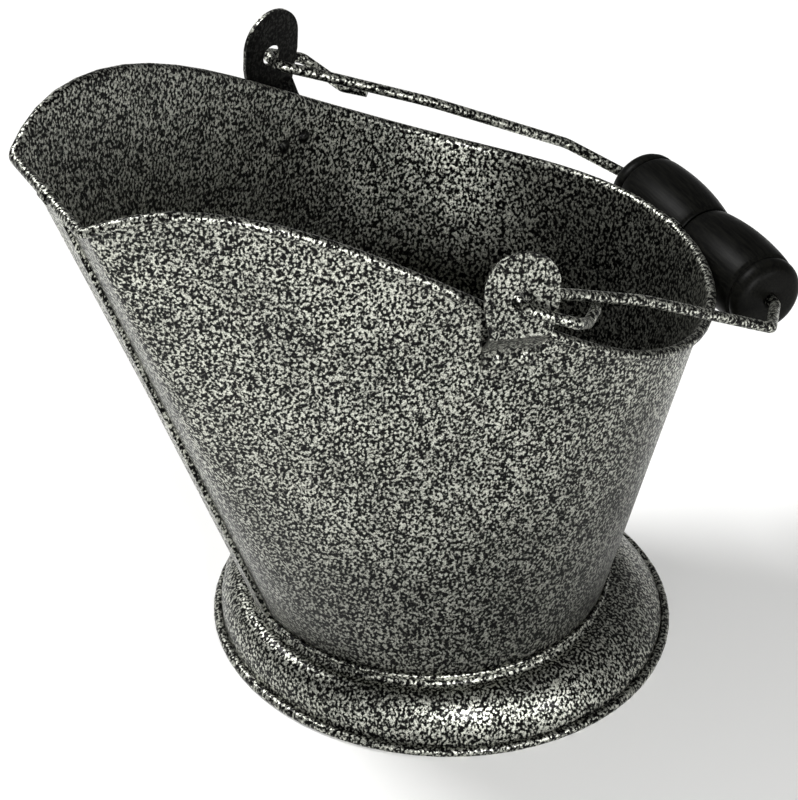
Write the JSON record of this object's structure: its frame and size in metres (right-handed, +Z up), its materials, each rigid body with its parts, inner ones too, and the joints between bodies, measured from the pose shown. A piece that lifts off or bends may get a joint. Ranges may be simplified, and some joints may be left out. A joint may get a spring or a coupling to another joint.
{
  "type": "coal scuttle",
  "caption": "Sheet-steel coal bucket with a tall pouring lip, round rear, flared foot ring and a swinging wire bail with a turned two-part grip.",
  "frame": {"origin": "centre of the foot's rolled edge, on the floor", "axes": "+Z up, -X towards the pouring lip, +X towards the rear where the grip rests, +Y across to the right-hand side seen by someone who looks along -X towards the lip"},
  "size_m": [0.3969, 0.282, 0.3397],
  "materials": {
    "vein_paint": "black and silver vein paint, lightly textured, semi-gloss",
    "plain_wire": "drawn steel wire, hidden inside the rolled edges",
    "black_wood": "turned wood, satin black paint"
  },
  "bodies": {
    "bucket": {"right_side": "vein_paint", "left_side": "vein_paint", "front_seam_strip": "vein_paint", "rear_seam_strip": "vein_paint", "rim_wire": "plain_wire", "bottom_plate": "vein_paint", "foot_ring": "vein_paint", "foot_wire": "plain_wire", "right_ear": "vein_paint", "left_ear": "vein_paint", "ear_rivets": "vein_paint"},
    "bail": {"bail": "vein_paint"},
    "right_grip": {"right_grip": "black_wood"},
    "left_grip": {"left_grip": "black_wood"}
  },
  "joints": [
    {"name": "bail_hinge", "type": "hinge", "parent": "bucket", "child": "bail", "pos_m": [-0.038, 0, 0.28432], "axis": [0, -1, 0], "range_deg": [0, 188]},
    {"name": "right_grip_spin", "type": "hinge", "parent": "bail", "child": "right_grip", "pos_m": [0.15122, 0, 0.19148], "axis": [0, 1, 0], "continuous": true},
    {"name": "left_grip_spin", "type": "hinge", "parent": "bail", "child": "left_grip", "pos_m": [0.15122, 0, 0.19148], "axis": [0, 1, 0], "continuous": true}
  ]
}
